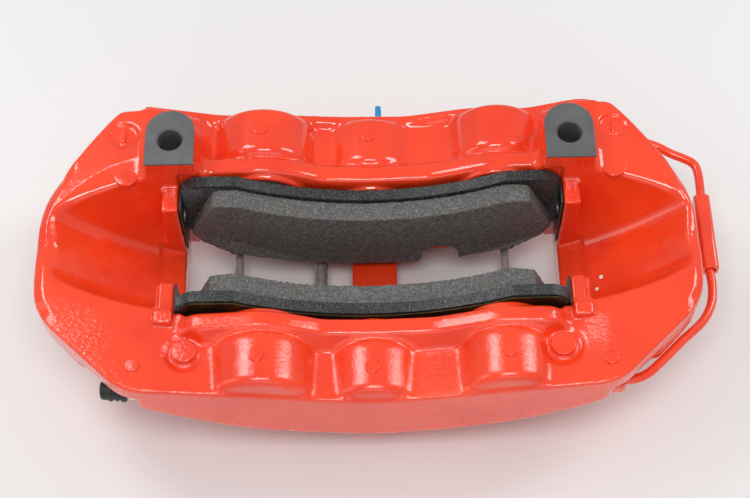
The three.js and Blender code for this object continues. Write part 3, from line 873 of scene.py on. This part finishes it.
def crisp_cut(piece, name, bm):
    """Cut a machined shape from a piece with a clean edge."""
    cutter = bpy.data.objects.new(name, to_mesh(name, bm))
    bpy.context.scene.collection.objects.link(cutter)
    cut = piece.modifiers.new(name, "BOOLEAN")
    cut.operation = "DIFFERENCE"
    cut.object = cutter
    cut.solver = "MANIFOLD"
    graph = bpy.context.evaluated_depsgraph_get()
    mesh = bpy.data.meshes.new_from_object(piece.evaluated_get(graph))
    piece.modifiers.clear()
    old = piece.data
    piece.data = mesh
    bpy.data.meshes.remove(old)
    bpy.data.objects.remove(cutter)


def ear_face_cutter():
    bm = bmesh.new()
    for side in (-1, 1):
        place = Matrix.Translation(at(side * EAR_X, 52, EAR_TOP - EAR_FACE + 10))
        bmesh.ops.create_cube(bm, size=1, matrix=place @ Matrix.Diagonal((0.045, 0.06, 0.02, 1)))
    return bm


def ear_reach(angle, inset):
    """Distance from the bolt hole's axis to the edge of the ear's D-shaped face."""
    u, v = math.cos(angle), math.sin(angle)
    front = (EAR_FRONT - EAR_HOLE_Y + inset) / v if v < -1e-6 else 1e9
    flank = (EAR_HALF - inset) / abs(u) if abs(u) > 1e-6 else 1e9
    nose = EAR_ARC_Y - EAR_HOLE_Y
    arc = nose * v + math.sqrt((nose * v) ** 2 + (EAR_HALF - inset) ** 2 - nose ** 2)
    reach = min(front, flank)
    return arc if reach * v > nose or reach > 1e8 else reach


def add_ear_faces():
    """The milled face of each ear: flat, chamfered round its edge and at the bolt hole."""
    corner = math.atan2(EAR_FRONT - EAR_HOLE_Y, EAR_HALF)
    turns = [corner + i * (math.pi + 2 * -corner) / 96 for i in range(97)]
    turns += [-math.pi - corner + i * (math.pi + 2 * corner) / 32 for i in range(1, 32)]
    for end_name, end in ENDS.items():
        bm = bmesh.new()
        low = EAR_TOP - EAR_FACE - 0.1
        edges = [(low, 0.0), (EAR_TOP - 0.35, 0.0), (EAR_TOP, 0.35)]
        rings = [[(z, ear_reach(a, inset)) for a in turns] for z, inset in edges]
        bore = [(EAR_TOP, EAR_HOLE + 0.8), (EAR_TOP - 0.8, EAR_HOLE), (low, EAR_HOLE)]
        rings += [[level for _ in turns] for level in bore]
        loops = [
            [bm.verts.new(at(end * EAR_X + r * math.cos(a), EAR_HOLE_Y + r * math.sin(a), z))
             for (z, r), a in zip(ring, turns)] for ring in rings
        ]
        for a, b in zip(loops, loops[1:] + loops[:1]):
            join_loops(bm, a, b)
        name = f"ear_face_{end_name}"
        new_piece(name, bm, "machined", smooth=20, stands_for=False)


def ear_hole_cutter():
    """The two bolt holes, right through."""
    bm = bmesh.new()
    for side in (-1, 1):
        profile = [(-95, 0), (-95, EAR_HOLE), (EAR_TOP + 2, EAR_HOLE), (EAR_TOP + 2, 0)]
        lathe(bm, "z", (side * EAR_X, EAR_HOLE_Y), profile, 96)
    return bm


def add_casting():
    mesh = build_casting().mesh("cast_body")
    body = bpy.data.objects.new("cast_body", mesh)
    bpy.context.scene.collection.objects.link(body)
    even = body.modifiers.new("even", "SMOOTH")
    even.factor = 0.5
    even.iterations = 2
    crisp_cut(body, "ear_faces", ear_face_cutter())
    crisp_cut(body, "ear_holes", ear_hole_cutter())
    thin = body.modifiers.new("thin", "DECIMATE")
    thin.ratio = 0.5
    graph = bpy.context.evaluated_depsgraph_get()
    mesh = bpy.data.meshes.new_from_object(body.evaluated_get(graph))
    body.modifiers.clear()
    body.data = mesh
    mesh = body.data
    mesh.name = "cast_body"
    mesh.materials.clear()
    for look in ("red", "machined", "bore"):
        mesh.materials.append(LOOK[look])
    paint_faces(mesh)
    mesh.shade_smooth()
    mesh.set_sharp_from_angle(angle=math.radians(50))
    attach(body, "caliper")
    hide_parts("caliper_body")


def paint_faces(mesh):
    """Choose the finish of each face from where it lies."""
    n = len(mesh.polygons)
    centres = np.empty(n * 3, dtype=np.float32)
    normals = np.empty(n * 3, dtype=np.float32)
    mesh.polygons.foreach_get("center", centres)
    mesh.polygons.foreach_get("normal", normals)
    x, y, z = ((centres.reshape(-1, 3) - np.array(ORIGIN)) / MM).T
    nz = normals.reshape(-1, 3)[:, 2]
    ax, ay = np.abs(x), np.abs(y)
    look = np.zeros(n, dtype=np.int32)
    hole = np.hypot(ax - EAR_X, y - EAR_HOLE_Y)
    look[(hole < EAR_HOLE + 0.6) & (np.abs(nz) < 0.9)] = 1
    for bore_x, bore, _ in BORES.values():
        from_axis = np.hypot(x - bore_x, z - bore_z(bore_x))
        look[(from_axis < bore + SEAL_GROOVE + 0.4) & (ay > WINDOW_Y - 0.1) & (ay < BORE_FLOOR + 0.5)
             & (from_axis < np.where(ay < WINDOW_Y + 0.5, bore + BOOT_GROOVE + 0.3, 99))] = 2
    mesh.polygons.foreach_set("material_index", look)


def add_cast_discs():
    """Low round bosses on the casting: ejector marks and clamping points."""
    bm = bmesh.new()
    for x, y, z, r in CAST_DISCS:
        lathe(bm, "z", (x, y), rounded([(z - 3, 0), (z - 3, r), (z, r), (z, 0)], 0.45, 3), 56)
    new_piece("cast_discs", bm, "red", smooth=40, stands_for=False)


def add_floor():
    bm = bmesh.new()
    bmesh.ops.create_grid(bm, x_segments=2, y_segments=2, size=4.0)
    floor = bpy.data.objects.new("floor", to_mesh("floor", bm))
    floor.location = (0, 0, BODY_LO.z)
    s = Shade("floor_white", (0.79, 0.785, 0.78), 0.55)
    s.colour(s.ramp(s.noise(400, 2), [(0.35, (0.765, 0.765, 0.76)), (0.7, (0.805, 0.80, 0.795))]))
    floor.data.materials.append(s.material)
    bpy.context.scene.collection.objects.link(floor)


add_camera()
add_lights()
add_floor()
add_casting()
add_ear_faces()
add_cast_discs()




# ---------------------------------------------------------------- pistons, seals and boots


def side_span(side, a, b):
    return (a, b) if side > 0 else (-b, -a)


def turned_y(bm, side, centre, profile, sides):
    """Turn a profile, whose positions are distances from the mid-plane, on one side."""
    return lathe(bm, "y", centre, [(side * along, radius) for along, radius in profile], sides)


def add_cylinders():
    """Cup pistons with a dust-boot groove, square seals, and pleated boots."""
    for side_name, side in SIDES.items():
        for size, (x, bore, _) in BORES.items():
            centre = (x, bore_z(x))
            place = f"{side_name}_{size}"
            r = bore - PISTON_PLAY
            inner = r - PISTON_WALL
            body = rounded([
                (37.6, inner), (37.6, r - 0.9), (38.2, r - 0.3), (39.2, r - 0.3), (39.4, r - 1.5),
                (41.0, r - 1.5), (41.2, r), (62.0, r), (PISTON_END, r - 0.8), (PISTON_END, 0.001),
            ], 0.2)
            cup = rounded([
                (PISTON_END, 0), (55.6, 0), (55.6, inner - 1.6), (54.0, inner - 0.2), (37.6, inner),
            ], 0.6)
            bm = turned_y(bmesh.new(), side, centre, body[:-1] + [(PISTON_END, 0)], 96)
            turned_y(bm, side, centre, cup[1:], 96)
            bmesh.ops.remove_doubles(bm, verts=bm.verts, dist=0.02 * MM)
            new_piece(f"piston_{place}", bm, "aluminium", f"{place}_piston", 40)
            outer = bore + SEAL_GROOVE - 0.3
            seal = rounded([(46.3, bore), (46.3, outer), (49.7, outer), (49.7, bore), (46.3, bore)], 0.5)
            bm = turned_y(bmesh.new(), side, centre, seal[:-1], 72)
            new_piece(f"piston_seal_{place}", bm, "seal", smooth=40)
            boot = rounded([(along, bore + out) for along, out in (
                (37.6, 0.15), (37.6, 1.6), (38.4, 1.9), (39.0, 1.1), (39.6, 1.1), (40.1, 1.9),
                (41.2, 1.9), (41.2, 0.7), (40.5, 0.15), (37.6, 0.15),
            )], 0.25)
            bm = turned_y(bmesh.new(), side, centre, boot[:-1], 72)
            new_piece(f"dust_boot_{place}", bm, "boot", smooth=40)


# ---------------------------------------------------------------- pads

PAD_FACE, PLATE_0, PLATE_1, SHIM_0, SHIM_1 = 18.85, 30.2, 36.0, 36.3, 37.0
PAD_TIP, PAD_TOP_R, PAD_BOTTOM_R = 97.0, 154.3, 204.5
LINING_TOP_R, LINING_BOTTOM_R = 156.2, 202.1
LINING_RAMP_X = 78.0
LUG_R = 6.2


def disc_arc(radius, x0, x1, steps):
    a0, a1 = math.asin(x0 / radius), math.asin(x1 / radius)
    angles = [a0 + (a1 - a0) * i / steps for i in range(steps + 1)]
    return [(radius * math.sin(a), DISC_Z - radius * math.cos(a)) for a in angles]


def fillet(points, radius, steps=4):
    """Round the corners of a closed outline, but for the nearly straight ones."""
    out = []
    n = len(points)
    for i in range(n):
        p, h, q = (Vector(points[(i + k) % n]) for k in (-1, 0, 1))
        turn = (p - h).normalized().dot((q - h).normalized())
        r = min(radius, (p - h).length * 0.45, (q - h).length * 0.45)
        if turn < -0.985:
            out.append(tuple(h))
            continue
        a, b = h + (p - h).normalized() * r, h + (q - h).normalized() * r
        for k in range(steps + 1):
            t = k / steps
            out.append(tuple(a * (1 - t) ** 2 + h * 2 * t * (1 - t) + b * t * t))
    return out


def pad_outline(inset, lugs):
    """Plate outline: ears at the tips, an arched top, and two lugs for the pins below."""
    tip = PAD_TIP - inset
    low = disc_arc(PAD_BOTTOM_R - inset, -tip + 3, tip - 3, 48)
    if lugs:
        low = [p for p in low if abs(abs(p[0]) - PIN_X) > LUG_R]
        turns = np.linspace(math.pi, 2 * math.pi, 13)
        lug_arc = [(LUG_R * math.cos(a), LUG_R * math.sin(a)) for a in turns]
        for centre in (-PIN_X, PIN_X):
            at_lug = [(centre + u, PIN_Z + v) for u, v in lug_arc]
            index = next(i for i, p in enumerate(low) if p[0] > centre)
            low[index:index] = at_lug
    left = [(-tip, -0.5 - inset), (-tip, arc_z(PAD_BOTTOM_R - inset, tip))]
    right = [(tip, arc_z(PAD_BOTTOM_R - inset, tip)), (tip, -0.5 - inset)]
    top = [(90, 3.8 - inset)] + disc_arc(PAD_TOP_R + inset, 69, -69, 36) + [(-90, 3.8 - inset)]
    return fillet(left, 0) + low + right + top


def add_pads():
    for side_name, side in SIDES.items():
        body = f"{side_name}_pad"
        y0, y1 = side_span(side, PLATE_0, PLATE_1)
        holes = [(x, PIN_Z, PIN_R + 0.6) for x in (-PIN_X, PIN_X)]
        bm = prism_y(bmesh.new(), fillet(pad_outline(0, True), 2.2, 3), y0, y1, holes)
        bevelled(new_piece(f"backing_plate_{side_name}", bm, "plate", body), 0.7, segments=3)
        y0, y1 = side_span(side, SHIM_0, SHIM_1)
        bm = prism_y(bmesh.new(), fillet(pad_outline(1.2, False), 2.0, 3), y0, y1)
        bevelled(new_piece(f"shim_{side_name}", bm, "brass", body), 0.15)
        add_lining(side_name, side, body)
        add_pad_spring(side_name, side)


def lining_outline(side):
    low = disc_arc(LINING_BOTTOM_R, -90, 90, 60)
    if side > 0:
        notch = [(26.4, -58), *[(36.4 - 9.8 * math.cos(a), -51.5 + 8.5 * math.sin(a))
                                for a in np.linspace(0.35, math.pi - 0.35, 14)], (46.4, -57)]
        low = [p for p in low if p[0] < 26] + notch + [p for p in low if p[0] > 47]
    ends_right = [(94.6, -31), (93.5, -27), (80.8, 0.6)]
    top = disc_arc(LINING_TOP_R, 68.7, -68.7, 48)
    return low + ends_right + top + [(-x, z) for x, z in reversed(ends_right)]


def add_lining(side_name, side, body):
    """Friction block with chamfered ends; its surface is pitted and its edges are chipped."""
    y0, y1 = side_span(side, PAD_FACE, PLATE_0 - 0.3)
    name = f"lining_{side_name}"
    bm = prism_y(bmesh.new(), fillet(lining_outline(side), 1.6, 3), y0, y1)
    lining = new_piece(name, bm, "friction", body, smooth=0)
    mesh = lining.data
    face = side * PAD_FACE
    for v in mesh.vertices:
        p = (v.co - ORIGIN) / MM
        if abs(p.y - face) < 0.1 and abs(p.x) > LINING_RAMP_X:
            v.co.y += side * min(4.0, (abs(p.x) - LINING_RAMP_X) / 13.0 * 4.0) * MM
    remesh = lining.modifiers.new("grain", "REMESH")
    remesh.mode = "VOXEL"
    remesh.voxel_size = 0.8 * MM
    graph = bpy.context.evaluated_depsgraph_get()
    fine = bpy.data.meshes.new_from_object(lining.evaluated_get(graph))
    lining.modifiers.clear()
    lining.data = fine
    normals = [v.normal.copy() for v in fine.vertices]
    for v, normal in zip(fine.vertices, normals):
        pits = noise.noise(v.co / (2.6 * MM)) * 0.22 + noise.noise(v.co / (0.9 * MM)) * 0.10
        v.co += normal * (pits - 0.18) * MM
    fine.shade_smooth()
    bpy.data.meshes.remove(mesh)


def add_pad_spring(side_name, side):
    """Leaf spring, bowed up under the pad; the rolled ends are left out."""
    y0, y1 = side_span(side, 29.2, 36.4)
    crown = [
        (-17, -66.2), (-14.5, -65.0), (-9, -64.3), (1.2, -63.7), (11, -64.4), (14.2, -65.2), (16, -66.3),
    ]
    line = smooth_path([Vector((x, z)) for x, z in crown], 5)
    under = [p - Vector((0, 0.75)) for p in line]
    bm = prism_y(bmesh.new(), [tuple(p) for p in line + under[::-1]], y0, y1)
    bevelled(new_piece(f"pad_spring_{side_name}", bm, "plated", smooth=30), 0.2)


# ---------------------------------------------------------------- wear plates and their screws


def add_wear_plates():
    """Hardened sheet on each abutment's face for the pad's tip, held by a countersunk screw."""
    for side_name, side in SIDES.items():
        for end_name, end in ENDS.items():
            place = f"{side_name}_{end_name}"
            y0, y1 = side_span(side, SLOT + 0.7, WINDOW_Y - 0.6)
            top = POST_TOP - 0.6
            outline = fillet([(y0, -45), (y1, -45), (y1, top), (y0, top)], 2.0, 5)
            bm = bmesh.new()
            x0, x1 = sorted((end * 97.45, end * 98.28))
            sheets = [[bm.verts.new(at(x, y, z)) for y, z in outline] for x in (x0, x1)]
            for sheet in sheets:
                bm.faces.new(sheet)
            join_loops(bm, *sheets)
            bevelled(new_piece(f"wear_plate_{place}", bm, "dark_steel", smooth=30), 0.18)
            profile = rounded([
                (106.4, 0), (106.4, 1.5), (105.9, 2.0), (98.9, 2.0), (97.35, 3.5), (97.1, 3.4),
                (97.05, 1.25), (98.0, 1.1), (98.0, 0),
            ], 0.12)
            profile = [(end * a, r) for a, r in profile]
            bm = lathe(bmesh.new(), "x", (side * SCREW_Y, SCREW_Z), profile, 40)
            new_piece(f"wear_plate_screw_{place}", bm, "steel", smooth=30)


# ---------------------------------------------------------------- pins, clips and the stay bolt


CLIP_SHAPE = [
    (0, -7.5), (0, -3), (0, 2), (0.6, 4.5), (2.4, 6), (4, 4.4), (4.2, 1.5), (3.7, -2), (4.1, -4),
    (4.6, -6),
]
PITCH = 1.0


def thread(start, end, radius, depth):
    """Ridges of a screw thread as (along, radius) points."""
    points = []
    a = start
    step = PITCH if end > start else -PITCH
    while abs(end - a) > PITCH:
        points += [(a, radius - depth), (a + step * 0.5, radius)]
        a += step
    return points + [(end, radius - depth)]


def add_pins():
    for end_name, end in ENDS.items():
        x = end * PIN_X
        profile = rounded([
            (-54, 0), (-54, 3.6), (-53.3, 4.4), (-50.9, 4.4), (-50.4, 4.0), (-50.4, 2.5),
            (-38.2, 2.5), (-38.0, 2.1), (-36.4, 2.1), (-36.2, 2.5), (-14.0, 2.5), (-13.6, 2.75),
            (-11.6, 2.75), (-11.2, 2.5), (53, 2.5), (57.8, 2.5), (59, 1.7), (59, 0),
        ], 0.18)
        bm = lathe(bmesh.new(), "y", (x, PIN_Z), profile, 48)
        new_piece(f"pad_pin_{end_name}", bm, "grey_steel", smooth=30)
        name = f"pin_clip_{end_name}"
        route = [(x, 56.5 + dy, PIN_Z + dz) for dy, dz in CLIP_SHAPE]
        new_piece(name, tube(name, route, 0.62, 12), "steel", smooth=30)
    centre = (STAY_X, STAY_Z)
    bolt = [
        (-53, 0), (-53, 5.0), (-52.3, 6.3), (-49.6, 6.5), (-49.4, 6.4), (-48.4, 6.4),
        (-48.4, STAY_R), (42, STAY_R), *thread(42.5, 55.2, STAY_R, 0.3), (56, STAY_R - 0.9), (56, 0),
    ]
    bm = lathe(bmesh.new(), "y", centre, bolt, 72, hexagon=(-53.1, -49.5, 5.6))
    new_piece("stay_bolt", bm, "steel", smooth=25)
    nut = [
        (48.4, STAY_R + 0.3), (48.4, 6.0), (49.0, 6.5), (53.3, 6.5), (53.9, 5.6),
        (53.9, STAY_R + 0.8), (53.4, STAY_R + 0.3),
    ]
    bm = lathe(bmesh.new(), "y", centre, nut, 72, hexagon=(48.3, 54, 5.6))
    new_piece("stay_nut", bm, "plated", smooth=25)


# ---------------------------------------------------------------- hydraulics

PIPE_ROUTE = [
    (131, 70), (138, 70), (147, 69.5), (154, 66.5), (160.5, 62.2), (168, 58.3), (172.3, 54.6),
    (173.6, 48), (173.5, 36.6), (173.1, 12), (172.9, -8.5), (173.1, -18.5), (171.9, -27), (169, -34),
    (164.2, -40.4), (154, -49.6), (143, -60.4), (136, -66.5), (130, -69.3), (125, -70), (119, -70),
]
SLEEVE_X, SLEEVE_Y = 173.2, (-9.6, 34.0)
FLARE_NUT = [
    (-9, PIPE_R + 0.35), (-9, 4.2), (-8.4, 4.7), (0, 4.7), (0.3, 6.2), (6.3, 6.2), (7.4, 5.2),
    (7.4, PIPE_R + 0.8), (6.9, PIPE_R + 0.35),
]
BLEED_SCREW = [
    (10, 1.2), (10, 3.6), *thread(9, 1.0, 4.6, 0.4), (0, 4.0), (-0.5, 4.0), (-0.6, 4.6), (-1.0, 5.1),
    (-5.0, 5.1), (-5.4, 4.6), (-5.5, 3.0), (-8, 2.7), (-12.5, 2.7), (-12.9, 3.0), (-13.8, 3.0),
    (-15.9, 2.1), (-16, 1.2),
]
CAP_END = -19.5
BLEED_CAP = [
    (0, 0), (0, 3.6), (0.8, 4.6), (4.2, 5.0), (4.7, 5.6), (5.8, 5.6), (6.3, 5.0), (7.4, 5.0),
    (7.9, 5.6), (9.0, 5.6), (9.5, 5.0), (10.1, 5.1), (10.6, 6.0), (12.4, 6.1), (13, 5.6), (13, 3.4),
    (12.6, 3.2), (3.2, 3.2), (3.0, 0),
]
TETHER_START = 11.6
TETHER = [(0, 0, 5.6), (1.2, -0.4, 7.4), (3.6, -0.8, 8.0), (6.2, -0.6, 6.9), (7.4, -0.2, 6.0)]


def turned_x(start, centre, profile, sides, hexagon=None):
    """Turn a profile, whose positions are distances from a start, about a line along X."""
    if hexagon:
        hexagon = (start + hexagon[0], start + hexagon[1], hexagon[2])
    return lathe(bmesh.new(), "x", centre, [(start + a, r) for a, r in profile], sides, hexagon)


def add_hydraulics():
    route = [(x, y, PORT_Z) for x, y in PIPE_ROUTE]
    new_piece("crossover_pipe", tube("crossover_pipe", route, PIPE_R, 24), "red_pipe", smooth=30)
    add_sleeve()
    for side_name, side in SIDES.items():
        face = PORT_FACE[side]
        centre = (side * PORT_Y, PORT_Z)
        bm = turned_x(face, centre, FLARE_NUT, 72, (0.2, 7.5, 5.5))
        new_piece(f"flare_nut_{side_name}", bm, "red_pipe", smooth=25)
        add_bleeder(side_name, -face, centre)
    add_inlet_plug()


def add_sleeve():
    """Clamp sleeve: a sheet folded square round the pipe, held inside its CAD box."""
    y0, y1 = SLEEVE_Y
    inner = PIPE_R + 0.5
    rings = [(y0, inner), (y0, 4.5), (y0 + 0.7, 4.7), (y1 - 0.7, 4.7), (y1, 4.5), (y1, inner)]
    bm = lathe(bmesh.new(), "y", (SLEEVE_X, PORT_Z), rings, 48)
    lo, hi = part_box("pipe_sleeve")
    for v in bm.verts:
        p = (v.co - ORIGIN) / MM
        u, w = p.x - SLEEVE_X, p.z - PORT_Z
        reach = math.hypot(u, w)
        if reach > 4:
            grow = min(reach / max(abs(u), abs(w)), 1.18) * 0.9
            p.x, p.z = SLEEVE_X + u * grow, PORT_Z + w * grow
        v.co = at(*p)
        v.co.x = min(max(v.co.x, lo.x), hi.x)
        v.co.z = min(max(v.co.z, lo.z), hi.z)
    bevelled(new_piece("pipe_sleeve", bm, "red_pipe"), 0.3, 50)


def add_bleeder(side_name, face, centre):
    """Bleed screw with a hexagon and a barbed nipple, and its ribbed rubber cap on a strap."""
    bm = turned_x(face, centre, BLEED_SCREW, 72, (-5.45, -0.55, 4.5))
    new_piece(f"bleed_screw_{side_name}", bm, "nipple", f"{side_name}_bleed_screw", 25)
    end = face + CAP_END
    bm = turned_x(end, centre, rounded(BLEED_CAP, 0.3), 64)
    new_piece(f"bleed_cap_{side_name}", bm, "cap", f"{side_name}_bleed_cap")
    name = f"cap_tether_{side_name}"
    y, z = centre
    route = [(end + TETHER_START + dx, y + dy, z + dz) for dx, dy, dz in TETHER]
    new_piece(name, tube(name, route, 0.9, 14), "cap", f"{side_name}_bleed_cap", stands_for=False)


def add_inlet_plug():
    """Moulded transit plug: a stepped stem with a flat rounded grip."""
    stem = rounded([
        (79.2, 0), (79.2, 3.9), (80.4, 4.5), (87.8, 4.6), (88.2, 4.6), (89.6, 4.6), (90, 4.2), (90, 0),
    ], 0.3)
    bm = lathe(bmesh.new(), "y", (INLET_X, INLET_Z), stem, 56)
    grip = [(-1.7, -3.9), (1.7, -3.9), (1.7, 3.9), (-1.7, 3.9)]
    sections = [(89.2, 1.0), (95, 1.0), (99.5, 0.98), (101.6, 0.9), (102.6, 0.7), (102.9, 0.35)]
    rings = []
    for y, scale in sections:
        outline = fillet([(u * (0.6 + 0.4 * scale), w * scale) for u, w in grip], 1.5)
        rings.append([bm.verts.new(at(INLET_X + u, y, INLET_Z + w)) for u, w in outline])
    for a, b in zip(rings, rings[1:]):
        join_loops(bm, a, b)
    bm.faces.new(rings[0])
    bm.faces.new(rings[-1])
    new_piece("inlet_plug", bm, "blue", "inlet_transit_plug", 40)


add_cylinders()
add_pads()
add_wear_plates()
add_pins()
add_hydraulics()
